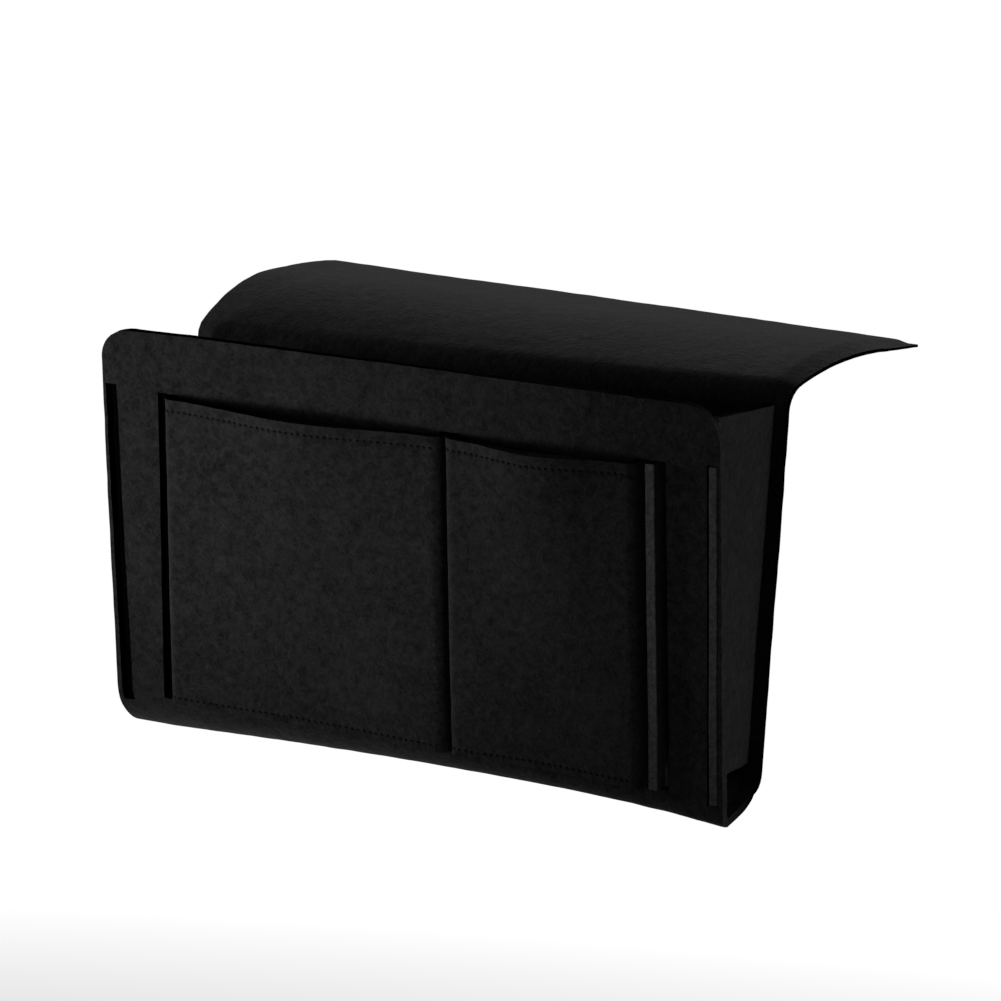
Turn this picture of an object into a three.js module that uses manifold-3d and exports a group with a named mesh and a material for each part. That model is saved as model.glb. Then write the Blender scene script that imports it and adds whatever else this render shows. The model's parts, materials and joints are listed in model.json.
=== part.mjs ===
// Bedside caddy: a felt pouch that hangs from a flap tucked under a mattress.
// Millimetres, +Z up, +X to the caddy's own left-to-right as seen from the front, +Y towards the bed.
// The origin is on the flap's flat underside, where it rests on the bed base.
import * as THREE from 'three';
import { mergeVertices } from 'three/addons/utils/BufferGeometryUtils.js';
import Module from 'manifold-3d';

const wasm = await Module();
wasm.setup();

// Felt and clearances
const felt = 4;
const clearance = 0.3;
const overrun = 6;

// Front panel, measured up its own slope from the line where it would meet the bottom
const frontWidth = 320;
const frontHeight = 189.8;
const frontLean = 10.9;
const frontFootInsetLeft = 3.6;
const frontFootInsetRight = 1.9;
const frontCornerRadius = 18;

// The foot sags below that line towards both ends, from one place across the front
const sagFromShare = 0.45;
const footSagLeft = 16.5;
const footSagRight = 4.6;
const foldRadiusLeft = 26;
const foldRadiusRight = 3.6;

// Depth at the mouth, and how the back panel sits behind the front one
const mouthDepth = 75.8;
const backInset = 12.6;
const backEar = 4.8;
const backFootHeight = 11.7;
const backFoldRadius = 9;

// Side gussets, whose tops lie below the front panel's top edge
const gussetDropFront = 4.1;
const gussetDropBackLeft = 8.9;
const gussetDropBackRight = 3.9;
const gussetFootFront = 17.9;
const gussetFootBack = 19.7;
const edgeStripTop = 1.6;
const edgeStripFoot = 2.8;
const slotHeadroom = 26.8;
const tabFootLeft = 13;
const tabFootRight = 5;
const tabRecessLeft = 3;
const tabRecessRight = 0;
const tabSideGap = 0.5;
const tabNeck = 3;

// Flap: a tight bend over the fold line, a slow rise, then a flat end that lies under the mattress
const foldLineRise = 2.3;
const flapBendRadius = 7;
const flapRise = 16.4;
const flapReach = 118.7;
const flapSlopeLeft = 37;
const flapSlopeRight = 19;

// Pockets on the front panel: margins from its side edges, and heights up its slope
const pocketMarginLeft = 36;
const pocketMarginRight = 39;
const widePocketShare = 0.592;
const pocketSpacing = 1.2;
const pocketHeadroom = 28.6;
const pocketFootLeft = 17.3;
const pocketFootRight = 10;
const pocketFootShift = 1.5;
const pocketMouthDepth = 8;
const pocketFootDepth = 6.6;
const pocketBulge = 8;
const pocketEdgeRadius = 5;
const pocketTail = 3;
const slotClearance = 0.5;
const leftSlotOpening = 7.6;
const rightSlotOpening = 3.8;

// Strip that closes the narrow pocket's right end
const stripGap = 1.8;
const stripProud = 2.5;
const stripDepth = 10;

// Counts of steps across the sheets and round their bends
const acrossSteps = 12;
const cornerSteps = 7;
const bendSteps = 8;
const riseSteps = 8;
const pocketRows = 8;
const pocketSpanSteps = 12;
const edgeSteps = 4;

const feltBlack = 0x17171a;

const radians = THREE.MathUtils.degToRad;
const lerp = THREE.MathUtils.lerp;
const lean = radians(frontLean);

// Distances that several pieces share
const backFace = mouthDepth + felt;
const backHalf = frontWidth / 2 - backInset + backEar;
const slotTop = frontHeight - slotHeadroom;
const pocketTop = frontHeight - pocketHeadroom;
const frontTop = frontHeight * Math.cos(lean);
const foldLineHeight = frontTop - gussetDropBackRight + foldLineRise;
const hinge = new THREE.Vector2(mouthDepth + felt / 2, foldLineHeight);
const flatUnderside = foldLineHeight + flapRise;
const widePocketLeft = pocketMarginLeft - frontWidth / 2;
const narrowPocketRight = frontWidth / 2 - pocketMarginRight;
const widePocketRight = THREE.MathUtils.lerp(widePocketLeft, narrowPocketRight, widePocketShare);
const narrowPocketLeft = widePocketRight + pocketSpacing;

function feltMaterial(name) {
  const material = new THREE.MeshStandardMaterial({ color: feltBlack, roughness: 0.95, metalness: 0 });
  material.name = name;
  return material;
}

function feltPiece(name, geometry) {
  const mesh = new THREE.Mesh(geometry, feltMaterial('felt'));
  mesh.name = name;
  return mesh;
}

// Closed geometries and solids

function weld(positions, indices) {
  const loose = new THREE.BufferGeometry();
  loose.setAttribute('position', new THREE.Float32BufferAttribute(positions, 3));
  loose.setIndex(indices);
  const welded = mergeVertices(loose, clearance / 100);
  const index = welded.index.array;
  const kept = [];
  for (let i = 0; i < index.length; i += 3) {
    const [a, b, c] = [index[i], index[i + 1], index[i + 2]];
    if (a !== b && b !== c && c !== a) kept.push(a, b, c);
  }
  welded.setIndex(kept);
  return welded;
}

function solidOf(geometry) {
  const bare = geometry.clone();
  bare.deleteAttribute('normal');
  bare.deleteAttribute('uv');
  const merged = mergeVertices(bare, clearance / 100);
  const mesh = new wasm.Mesh({
    numProp: 3,
    vertProperties: new Float32Array(merged.attributes.position.array),
    triVerts: new Uint32Array(merged.index.array),
  });
  return new wasm.Manifold(mesh);
}

function geometryOf(solid) {
  const mesh = solid.getMesh();
  const geometry = new THREE.BufferGeometry();
  geometry.setAttribute('position', new THREE.BufferAttribute(mesh.vertProperties, 3));
  geometry.setIndex(new THREE.BufferAttribute(mesh.triVerts, 1));
  geometry.computeVertexNormals();
  return geometry;
}

function cut(geometry, cutters) {
  const solid = cutters.reduce((left, cutter) => left.subtract(solidOf(cutter)), solidOf(geometry));
  return geometryOf(solid);
}

// A closed sheet from rows of places. Each place has its point on the face and on the other side of the felt.
function sheetGeometry(rows) {
  const columns = rows[0].length;
  const positions = [];
  for (const side of ['face', 'lining']) {
    for (const row of rows) {
      for (const place of row) positions.push(...place[side].toArray());
    }
  }
  const at = (side, i, j) => side * rows.length * columns + i * columns + j;
  const indices = [];
  const quad = (a, b, c, d) => indices.push(a, b, c, a, c, d);
  for (let i = 0; i + 1 < rows.length; i++) {
    for (let j = 0; j + 1 < columns; j++) {
      quad(at(0, i, j), at(0, i + 1, j), at(0, i + 1, j + 1), at(0, i, j + 1));
      quad(at(1, i, j), at(1, i, j + 1), at(1, i + 1, j + 1), at(1, i + 1, j));
    }
    quad(at(0, i, 0), at(1, i, 0), at(1, i + 1, 0), at(0, i + 1, 0));
    quad(at(0, i, columns - 1), at(0, i + 1, columns - 1), at(1, i + 1, columns - 1), at(1, i, columns - 1));
  }
  for (let j = 0; j + 1 < columns; j++) {
    quad(at(0, 0, j), at(0, 0, j + 1), at(1, 0, j + 1), at(1, 0, j));
    const last = rows.length - 1;
    quad(at(0, last, j), at(1, last, j), at(1, last, j + 1), at(0, last, j + 1));
  }
  return weld(positions, indices);
}

// The leaning front panel's own coordinates: x across, height up the slope, proud out of its face

function frontYZ(height, proud) {
  const y = (frontHeight - height) * Math.sin(lean) - proud * Math.cos(lean);
  const z = height * Math.cos(lean) - proud * Math.sin(lean);
  return new THREE.Vector2(y, z);
}

// The pockets and their slots lean a little to the left towards their feet
function onFront(x, height, proud) {
  const place = frontYZ(height, proud);
  return new THREE.Vector3(x - pocketFootShift * (1 - height / frontHeight), place.x, place.y);
}

// How far from the middle the front panel's left (-1) or right (1) edge is at a height
function frontHalfAt(side, height) {
  const inset = side < 0 ? frontFootInsetLeft : frontFootInsetRight;
  return frontWidth / 2 - inset * (1 - height / frontHeight);
}

// A box given in the front panel's coordinates
function frontBox(left, right, low, high, inner, outer) {
  const corner = (x, height) => ({ face: onFront(x, height, outer), lining: onFront(x, height, inner) });
  return sheetGeometry([left, right].map((x) => [low, high].map((height) => corner(x, height))));
}

// Side path of the body sheet: front panel, bottom and back panel in one strip

// Points of a rounded corner between two directions that leave it, with the inward normal at each
function roundedCorner(corner, toBefore, toAfter, radius) {
  const halfAngle = Math.acos(toBefore.dot(toAfter)) / 2;
  const middle = toBefore.clone().add(toAfter).normalize();
  const centre = corner.clone().addScaledVector(middle, radius / Math.sin(halfAngle));
  const start = corner.clone().addScaledVector(toBefore, radius / Math.tan(halfAngle)).sub(centre);
  const sweep = Math.PI - 2 * halfAngle;
  const turn = Math.sign(toAfter.cross(toBefore));
  const places = [];
  for (let k = 0; k <= bendSteps; k++) {
    const spoke = start.clone().rotateAround(new THREE.Vector2(), (turn * sweep * k) / bendSteps);
    places.push({ point: centre.clone().add(spoke), normal: spoke.clone().normalize().negate() });
  }
  return places;
}

// How far the foot sags below its line at a share from the left edge (0) to the right one (1)
function footSagAt(share) {
  const [sag, far] = share < sagFromShare ? [footSagLeft, 0] : [footSagRight, 1];
  return sag * ((share - sagFromShare) / (far - sagFromShare)) ** 2;
}

// One place across the sheet, at such a share
function bodyColumn(share) {
  const up = new THREE.Vector2(-Math.sin(lean), Math.cos(lean));
  const inward = new THREE.Vector2(Math.cos(lean), Math.sin(lean));
  const line = frontYZ(0, 0);
  const foot = line.clone().addScaledVector(up, -footSagAt(share));
  const heel = new THREE.Vector2(backFace, backFootHeight);
  const along = heel.clone().sub(foot).normalize();
  const column = [];
  const add = (point, normal, leftHalf, rightHalf) => {
    const lining = point.clone().addScaledVector(normal, felt);
    const x = lerp(-leftHalf, rightHalf, share);
    column.push({
      face: new THREE.Vector3(x, point.x, point.y),
      lining: new THREE.Vector3(x, lining.x, lining.y),
    });
  };
  for (let k = 0; k <= cornerSteps; k++) {
    const angle = ((1 - k / cornerSteps) * Math.PI) / 2;
    const height = frontHeight - frontCornerRadius * (1 - Math.sin(angle));
    const rounded = frontCornerRadius * (1 - Math.cos(angle));
    const halves = [-1, 1].map((side) => frontHalfAt(side, height) - rounded);
    add(line.clone().addScaledVector(up, height), inward, ...halves);
  }
  const foldRadius = lerp(foldRadiusLeft, foldRadiusRight, share);
  const front = roundedCorner(foot, up, along, foldRadius);
  const startHeight = front[0].point.clone().sub(line).dot(up);
  front.forEach(({ point, normal }, k) => {
    const halves = [-1, 1].map((side) => lerp(frontHalfAt(side, startHeight), backHalf, k / bendSteps));
    add(point, normal, ...halves);
  });
  const rise = new THREE.Vector2(0, 1);
  const back = roundedCorner(heel, along.clone().negate(), rise, backFoldRadius);
  back.forEach(({ point, normal }) => add(point, normal, backHalf, backHalf));
  const top = new THREE.Vector2(backFace, foldLineHeight - felt / 2 - clearance);
  add(top, new THREE.Vector2(-1, 0), backHalf, backHalf);
  return column;
}

function rowsFromColumns(columns) {
  return columns[0].map((_, i) => columns.map((column) => column[i]));
}

function acrossShares(steps) {
  return Array.from({ length: steps + 1 }, (_, k) => k / steps);
}

// Side gussets. A gusset's outer face runs straight from the front panel's edge to the back panel.

function gussetFaceAt(side, y, z) {
  const height = z / Math.cos(lean);
  const frontY = (frontHeight - height) * Math.sin(lean);
  const edgeStrip = lerp(edgeStripFoot, edgeStripTop, height / frontHeight);
  const share = (y - frontY) / (mouthDepth - frontY);
  return lerp(frontHalfAt(side, height) - edgeStrip, frontWidth / 2 - backInset, share);
}

// A wall of the given thickness inside that face, or reaching beyond it, cut to an outline of y, z points
function sideWall(outline, side, beyond, thickness) {
  const wall = new THREE.ExtrudeGeometry(new THREE.Shape(outline), { depth: thickness, bevelEnabled: false });
  const places = wall.attributes.position;
  for (let i = 0; i < places.count; i++) {
    const [y, z, into] = [places.getX(i), places.getY(i), places.getZ(i)];
    places.setXYZ(i, side * (gussetFaceAt(side, y, z) + beyond - thickness + into), y, z);
  }
  if (side < 0) {
    const turned = wall.index ? wall.toNonIndexed() : wall;
    const p = turned.attributes.position;
    for (let i = 0; i < p.count; i += 3) {
      const [a, b] = [new THREE.Vector3().fromBufferAttribute(p, i), new THREE.Vector3().fromBufferAttribute(p, i + 1)];
      p.setXYZ(i, b.x, b.y, b.z);
      p.setXYZ(i + 1, a.x, a.y, a.z);
    }
    return turned;
  }
  return wall;
}

// Where the line at a set depth behind the front panel's face crosses a level height
function behindFront(depth, z) {
  const height = (z - depth * Math.sin(lean)) / Math.cos(lean);
  return frontYZ(height, -depth);
}

function gussetOutline(dropBack, tabFoot, tabRecess) {
  const seat = felt + clearance;
  const neck = seat + tabNeck;
  const back = mouthDepth - clearance;
  return [
    behindFront(seat, frontTop - gussetDropFront),
    frontYZ(slotTop - clearance, -seat),
    frontYZ(slotTop - clearance, -tabRecess),
    frontYZ(tabFoot + clearance, -tabRecess),
    frontYZ(tabFoot + clearance, -neck),
    behindFront(neck, gussetFootFront),
    new THREE.Vector2(back, gussetFootBack),
    new THREE.Vector2(back, frontTop - dropBack),
  ];
}

function gusset(side, dropBack, tabFoot, tabRecess) {
  return sideWall(gussetOutline(dropBack, tabFoot, tabRecess), side, 0, felt);
}

// The slot in the front panel that the gusset's tab stands in
function gussetSlot(side, tabFoot) {
  const outline = [
    frontYZ(slotTop, -felt - overrun),
    frontYZ(slotTop, overrun),
    frontYZ(tabFoot, overrun),
    frontYZ(tabFoot, -felt - overrun),
  ];
  return sideWall(outline, side, clearance, felt + clearance + tabSideGap);
}

// Pockets. A pocket's ends turn back through slots in the front panel, and its mouth stands open.

function pocketFootAt(x) {
  return lerp(pocketFootLeft, pocketFootRight, (x - widePocketLeft) / (narrowPocketRight - widePocketLeft));
}

// One column of a pocket from a place in its cross-section: x and proud as functions of how far up it is
function pocketColumn(faceAt, liningAt) {
  const places = [];
  for (let k = 0; k <= pocketRows; k++) {
    const share = k / pocketRows;
    const place = {};
    for (const [side, shape] of [['face', faceAt], ['lining', liningAt]]) {
      const { x, proud } = shape(share);
      place[side] = onFront(x, lerp(pocketFootAt(x), pocketTop, share), proud);
    }
    places.push(place);
  }
  return places;
}

function pocket(left, right) {
  const endProud = (share) => lerp(pocketFootDepth, pocketMouthDepth, share);
  const columns = [];
  const end = (edge, inwards) => {
    const made = [];
    const tail = (x) => () => ({ x, proud: -felt - pocketTail });
    made.push(pocketColumn(tail(edge), tail(edge + inwards * felt)));
    for (let k = 0; k <= edgeSteps; k++) {
      const angle = (k / edgeSteps) * (Math.PI / 2);
      const round = (radius) => (share) => ({
        x: edge + inwards * (pocketEdgeRadius - radius * Math.cos(angle)),
        proud: endProud(share) - pocketEdgeRadius + radius * Math.sin(angle),
      });
      made.push(pocketColumn(round(pocketEdgeRadius), round(pocketEdgeRadius - felt)));
    }
    return made;
  };
  columns.push(...end(left, 1));
  for (let k = 1; k < pocketSpanSteps; k++) {
    const span = k / pocketSpanSteps;
    const x = lerp(left + pocketEdgeRadius, right - pocketEdgeRadius, span);
    const swell = Math.sin(Math.PI * span) ** 2;
    const footProud = lerp(pocketFootDepth, felt + clearance, swell);
    const face = (share) => ({
      x,
      proud: lerp(footProud, pocketMouthDepth, share) + pocketBulge * share * share * swell,
    });
    const lining = (share) => ({ x, proud: face(share).proud - felt });
    columns.push(pocketColumn(face, lining));
  }
  columns.push(...end(right, -1).reverse());
  return sheetGeometry(columns);
}

const rightSlotEdge = narrowPocketRight + stripGap + felt + rightSlotOpening;

function pocketSlot(left, right) {
  const foot = pocketFootAt((left + right) / 2) - slotClearance;
  return frontBox(left, right, foot, pocketTop + slotClearance, -felt - overrun, overrun);
}

function pocketSlots() {
  return [
    pocketSlot(widePocketLeft - leftSlotOpening, widePocketLeft + felt + slotClearance),
    pocketSlot(widePocketRight - felt - slotClearance, narrowPocketLeft + felt + slotClearance),
    pocketSlot(narrowPocketRight - felt - slotClearance, rightSlotEdge),
  ];
}

function endStrip() {
  const left = narrowPocketRight + stripGap;
  const slotLeft = narrowPocketRight - felt - slotClearance;
  const foot = pocketFootAt((slotLeft + rightSlotEdge) / 2) - slotClearance + clearance;
  const top = pocketTop + slotClearance - clearance;
  return frontBox(left, left + felt, foot, top, stripProud - stripDepth, stripProud);
}

// Flap. Its root is a full round on the fold line, so it turns there without touching the back panel.

function flapColumn(share) {
  const x = (2 * share - 1) * backHalf;
  const slope = radians(lerp(flapSlopeLeft, flapSlopeRight, share));
  const column = [];
  const add = (upper, under) => {
    column.push({
      face: new THREE.Vector3(x, upper.x, upper.y),
      lining: new THREE.Vector3(x, under.x, under.y),
    });
  };
  for (let k = 0; k < edgeSteps; k++) {
    const angle = (k / edgeSteps - 1) * (Math.PI / 2);
    const wide = (felt / 2) * Math.cos(angle);
    const low = (felt / 2) * Math.sin(angle);
    const spoke = (sign) => new THREE.Vector2(hinge.x + sign * wide, hinge.y + low);
    add(spoke(-1), spoke(1));
  }
  const arc = (centre, radius, angle) =>
    new THREE.Vector2(centre.x - radius * Math.sin(angle), centre.y + radius * Math.cos(angle));
  const bend = new THREE.Vector2(hinge.x + felt / 2 + flapBendRadius, hinge.y);
  for (let k = 0; k <= bendSteps; k++) {
    const angle = lerp(Math.PI / 2, slope, k / bendSteps);
    add(arc(bend, flapBendRadius + felt, angle), arc(bend, flapBendRadius, angle));
  }
  const riseRadius = (flapRise - flapBendRadius * Math.cos(slope)) / (1 - Math.cos(slope));
  const crest = arc(bend, flapBendRadius - riseRadius, slope);
  for (let k = 1; k <= riseSteps; k++) {
    const angle = slope * (1 - k / riseSteps);
    add(arc(crest, riseRadius + felt, angle), arc(crest, riseRadius, angle));
  }
  const end = backFace + flapReach;
  add(new THREE.Vector2(end, flatUnderside + felt), new THREE.Vector2(end, flatUnderside));
  return column;
}

// The middle of the flap's flat end, which starts where the gentler side has levelled out
function flatMiddle() {
  const starts = [flapSlopeLeft, flapSlopeRight].map((slopeDegrees) => {
    const slope = radians(slopeDegrees);
    const riseRadius = (flapRise - flapBendRadius * Math.cos(slope)) / (1 - Math.cos(slope));
    return backFace + flapBendRadius * (1 - Math.sin(slope)) + riseRadius * Math.sin(slope);
  });
  return (Math.max(...starts) + backFace + flapReach) / 2;
}

// Assembly

const bodySheet = cut(sheetGeometry(rowsFromColumns(acrossShares(acrossSteps).map(bodyColumn))), [
  gussetSlot(-1, tabFootLeft),
  gussetSlot(1, tabFootRight),
  ...pocketSlots(),
]);
const flap = sheetGeometry(acrossShares(acrossSteps).map(flapColumn));

const pouch = new THREE.Group();
pouch.add(
  feltPiece('body_sheet', bodySheet),
  feltPiece('left_gusset', gusset(-1, gussetDropBackLeft, tabFootLeft, tabRecessLeft)),
  feltPiece('right_gusset', gusset(1, gussetDropBackRight, tabFootRight, tabRecessRight)),
  feltPiece('wide_pocket', pocket(widePocketLeft, widePocketRight)),
  feltPiece('narrow_pocket', pocket(narrowPocketLeft, narrowPocketRight)),
  feltPiece('pocket_end_strip', endStrip()),
);

const caddy = new THREE.Group();
caddy.add(pouch, feltPiece('mattress_flap', flap));
caddy.position.set(0, -flatMiddle(), -flatUnderside);

const root = new THREE.Group();
root.add(caddy);

export default root;
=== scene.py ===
# %% [markdown]
# # A felt bedside caddy
#
# The caddy is sewn from a few flat pieces of thick felt. The longest piece is the front, the bottom, the
# back and the flap that goes under the mattress, all in one. This lesson makes each piece the way a
# workshop does: it is cut flat, slots are cut in it, it is folded, and it gets its thickness last.
#
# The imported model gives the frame: bodies, the hinge and the box that everything has to stay in.

# %% Load the frame
import json
import math
import bmesh
import bpy
import numpy as np
from mathutils import Matrix, Vector, noise


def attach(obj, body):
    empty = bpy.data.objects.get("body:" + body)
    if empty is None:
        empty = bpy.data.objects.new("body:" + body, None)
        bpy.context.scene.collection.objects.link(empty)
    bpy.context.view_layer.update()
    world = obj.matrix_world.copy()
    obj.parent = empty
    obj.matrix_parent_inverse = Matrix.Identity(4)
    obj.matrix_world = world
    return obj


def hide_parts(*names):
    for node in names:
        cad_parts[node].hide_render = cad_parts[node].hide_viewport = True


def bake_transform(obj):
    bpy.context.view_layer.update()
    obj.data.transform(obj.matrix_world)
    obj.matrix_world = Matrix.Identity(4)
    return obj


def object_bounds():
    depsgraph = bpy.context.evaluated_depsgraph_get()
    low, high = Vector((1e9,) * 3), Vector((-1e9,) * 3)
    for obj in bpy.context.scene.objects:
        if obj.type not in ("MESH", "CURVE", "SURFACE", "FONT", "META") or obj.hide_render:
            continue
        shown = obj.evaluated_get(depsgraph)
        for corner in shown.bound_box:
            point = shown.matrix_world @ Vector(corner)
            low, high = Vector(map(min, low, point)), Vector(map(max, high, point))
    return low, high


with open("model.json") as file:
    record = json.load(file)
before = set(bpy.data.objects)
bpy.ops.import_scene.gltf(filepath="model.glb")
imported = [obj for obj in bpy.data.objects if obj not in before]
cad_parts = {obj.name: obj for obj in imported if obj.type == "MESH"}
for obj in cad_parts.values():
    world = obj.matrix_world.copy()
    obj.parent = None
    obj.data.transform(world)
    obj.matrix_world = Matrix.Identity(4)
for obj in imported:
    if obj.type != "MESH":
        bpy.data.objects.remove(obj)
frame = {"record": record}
cad_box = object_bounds()
record = frame["record"]
print("CAD box in mm:", [round(1000 * x) for corner in cad_box for x in corner])

# %% [markdown]
# ## Sizes
#
# All lengths are in metres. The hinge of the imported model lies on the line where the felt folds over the
# back edge of the pouch, so every place is worked out from that line. In the caddy's own side view, y runs
# from the front's top edge towards the bed and z up from the bottom. Where a size differs between the left
# side (-1) and the right side (1), it is kept by side.

# %% Sizes of the felt and the front panel
FELT = 0.004
CLEARANCE = 0.0003
FRONT_WIDTH = 0.320
FRONT_HEIGHT = 0.1898
FRONT_LEAN = math.radians(10.9)
FRONT_FOOT_INSET = {-1: 0.0040, 1: 0.0019}
FRONT_CORNER = {-1: 0.0145, 1: 0.018}
CORNER_DROOP = 0.0013
DROOP_SHARE = 0.5
DROOP_DEPTH = 0.045
FRONT_TOP = FRONT_HEIGHT * math.cos(FRONT_LEAN)

# %% Sizes of the foot, which sags towards both ends
SAG_FROM_SHARE = 0.55
SAG_POWER = {-1: 2.25, 1: 2.6}
FOOT_SAG = {-1: 0.0166, 1: 0.0055}
FOLD_RADIUS = {-1: 0.026, 1: 0.0036}
BACK_FOOT_HEIGHT = {-1: 0.0117, 1: 0.0090}
BACK_FOLD_RADIUS = 0.009

# %% Sizes of the pouch
MOUTH_DEPTH = 0.0758
BACK_INSET = 0.0126
BACK_EAR = 0.0054
GUSSET_DROP_FRONT = {-1: 0.0114, 1: 0.0041}
GUSSET_DROP_BACK = {-1: 0.0124, 1: 0.0039}
GUSSET_FOOT = {-1: ((0, 0.5, 0.8, 1), (0.0145, 0.0095, 0.0105, 0.0155)), 1: ((0, 1), (0.0179, 0.0197))}
EDGE_STRIP_TOP = 0.0016
EDGE_STRIP_FOOT = 0.0028
SLOT_HEADROOM = 0.0268
TAB_FOOT = {-1: 0.013, 1: 0.005}
TAB_RECESS = {-1: FELT + CLEARANCE, 1: 0.0}
TAB_FLARE = {-1: 0.0020, 1: 0.0}
FLARE_LENGTH = 0.012
TAB_SIDE_GAP = {-1: 0.0014, 1: 0.0012}
TAB_NECK = 0.003

# %% Sizes of the flap
FOLD_LINE_RISE = 0.0023
BEND_START = 0.179
FLAP_BEND_RADIUS = {-1: 0.0021, 1: 0.0114}
FLAP_SLOPE = {-1: math.radians(35.6), 1: math.radians(17.4)}
FLAP_RISE = 0.0164
FLAP_REACH = 0.1187
FLAP_SWELL = 0.0011
SWELL_FROM = 0.144
SWELL_SHARE = 0.35

# %% Sizes of the pockets and their end strip
POCKET_TOP = FRONT_HEIGHT - 0.0286
POCKET_FOOT = {-1: 0.0173, 1: 0.010}
POCKET_FOOT_SHIFT = 0.0015
WIDE_POCKET = (-0.124, 0.021)
NARROW_POCKET = (0.0222, 0.121)
POCKET_MOUTH_DEPTH = 0.008
POCKET_FOOT_DEPTH = 0.0066
POCKET_BULGE = 0.008
POCKET_EDGE_RADIUS = 0.005
POCKET_TAIL = 0.003
SLOT_CLEARANCE = 0.0005
LEFT_SLOT_OPENING = 0.0063
RIGHT_SLOT_OPENING = 0.0044
STRIP_GAP = 0.0029
STRIP_PROUD = 0.0043
STRIP_DEPTH = 0.010
STRIP_THICKNESS = 0.0048

# %% Places that several pieces share
BACK_FACE = MOUTH_DEPTH + FELT
BACK_HALF = FRONT_WIDTH / 2 - BACK_INSET + BACK_EAR
SLOT_TOP = FRONT_HEIGHT - SLOT_HEADROOM
FOLD_LINE = Vector((MOUTH_DEPTH + FELT / 2, FRONT_TOP - GUSSET_DROP_BACK[1] + FOLD_LINE_RISE))
UP = Vector((-math.sin(FRONT_LEAN), math.cos(FRONT_LEAN)))
OUT = Vector((-math.cos(FRONT_LEAN), -math.sin(FRONT_LEAN)))

hinge = record["behaviour"]["joints"][0]["pos_m"]
origin = Vector((0, hinge[1] - FOLD_LINE.x, hinge[2] - FOLD_LINE.y))


def lerp(a, b, share):
    return a + (b - a) * share


def front_yz(height, proud):
    """A place on the leaning front in the side view: up its slope and out of its face."""
    return UP * (height - FRONT_HEIGHT) + OUT * proud + Vector((0, FRONT_TOP))


def on_front(x, height, proud):
    """The same with x across it. What is sewn on leans a little to the left towards its foot."""
    shift = POCKET_FOOT_SHIFT * (1 - height / FRONT_HEIGHT)
    return origin + Vector((x - shift, *front_yz(height, proud)))


def front_half_at(side, height):
    return FRONT_WIDTH / 2 - FRONT_FOOT_INSET[side] * (1 - height / FRONT_HEIGHT)


def edge_strip_at(height):
    return lerp(EDGE_STRIP_FOOT, EDGE_STRIP_TOP, height / FRONT_HEIGHT)


print("caddy's own origin in the frame:", [round(1000 * c, 2) for c in origin])

# %% [markdown]
# ## The felt
#
# This is needle-punched polyester felt, dyed black. Thousands of fibres are tangled into a mat, so it has
# no weave. Near by one sees short strokes of fibre bundles, a few millimetres long, lying in all directions
# over small dark pits. The loose tips catch light that grazes the surface, which is what sheen is for. The
# strokes lie on the flat cut, so they use its own map, in metres.
#
# On a cut edge one sees the ends of the fibres, which have no direction, so the cut edge has a material of
# its own. It is painted nearly black and has no gloss, darker than the face, as painted shade. The edges that
# face out at the front's right side are painted paler instead, as a painted highlight. That colour is mixed
# in by the place on the caddy and by the way the edge faces.

# %% Colours and the node helper
def linear(hex_colour):
    """An sRGB hex colour as the linear RGBA that shaders use."""
    channels = [int(hex_colour[i:i + 2], 16) / 255 for i in (1, 3, 5)]
    return [c / 12.92 if c <= 0.04045 else ((c + 0.055) / 1.055) ** 2.4 for c in channels] + [1]


def add_node(tree, kind, settings=None, inputs=None, links=None):
    """One node with its settings, its input values and the sockets that feed it."""
    node = tree.nodes.new(kind)
    for name, value in (settings or {}).items():
        setattr(node, name, value)
    for name, value in (inputs or {}).items():
        node.inputs[name].default_value = value
    for name, socket in (links or {}).items():
        tree.links.new(socket, node.inputs[name])
    return node


def empty_material(name):
    material = bpy.data.materials.new(name)
    material.use_nodes = True
    material.node_tree.nodes.clear()
    return material, material.node_tree


# %% Strokes of fibre bundles
STROKE_LENGTH = 0.0045
STROKE_WIDTH = 0.0011
STROKE_TURNS = (20, 75, 140)


def fibre_strokes(tree):
    """The palest of three stretched noises, each turned another way on the flat cut."""
    flat = add_node(tree, "ShaderNodeUVMap", {"uv_map": "flat_cut"}).outputs[0]
    palest = None
    for turn in STROKE_TURNS:
        stretched = add_node(tree, "ShaderNodeMapping", {"vector_type": "TEXTURE"}, {
            "Rotation": (0, 0, math.radians(turn)),
            "Scale": (STROKE_LENGTH, STROKE_WIDTH, 1)}, {"Vector": flat})
        stroke = add_node(tree, "ShaderNodeTexNoise", {"noise_dimensions": "2D"}, {
            "Scale": 1, "Detail": 2, "Roughness": 0.5, "Distortion": 0.6}, {
            "Vector": stretched.outputs[0]})
        if palest is None:
            palest = stroke.outputs["Fac"]
        else:
            palest = add_node(tree, "ShaderNodeMath", {"operation": "MAXIMUM"}, None, {
                0: palest, 1: stroke.outputs["Fac"]}).outputs[0]
    return palest


def felt_noise(tree, size, detail):
    place = add_node(tree, "ShaderNodeTexCoord").outputs["Object"]
    return add_node(tree, "ShaderNodeTexNoise", inputs={
        "Scale": 1 / size, "Detail": detail, "Roughness": 0.6, "Distortion": 0.5}, links={
        "Vector": place}).outputs["Fac"]


# %% Helpers for both felt materials
DARKEST_TONE, PALEST_TONE = 0.40, 0.72


def colour_of(tree, tone, dark, pale):
    """A colour between two, for tones between the darkest and the palest that the noises reach."""
    ramp = add_node(tree, "ShaderNodeValToRGB", links={"Fac": tone})
    ends = ((DARKEST_TONE, dark), (PALEST_TONE, pale))
    for element, (position, colour) in zip(ramp.color_ramp.elements, ends):
        element.position = position
        element.color = linear(colour)
    return ramp.outputs["Color"]


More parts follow.
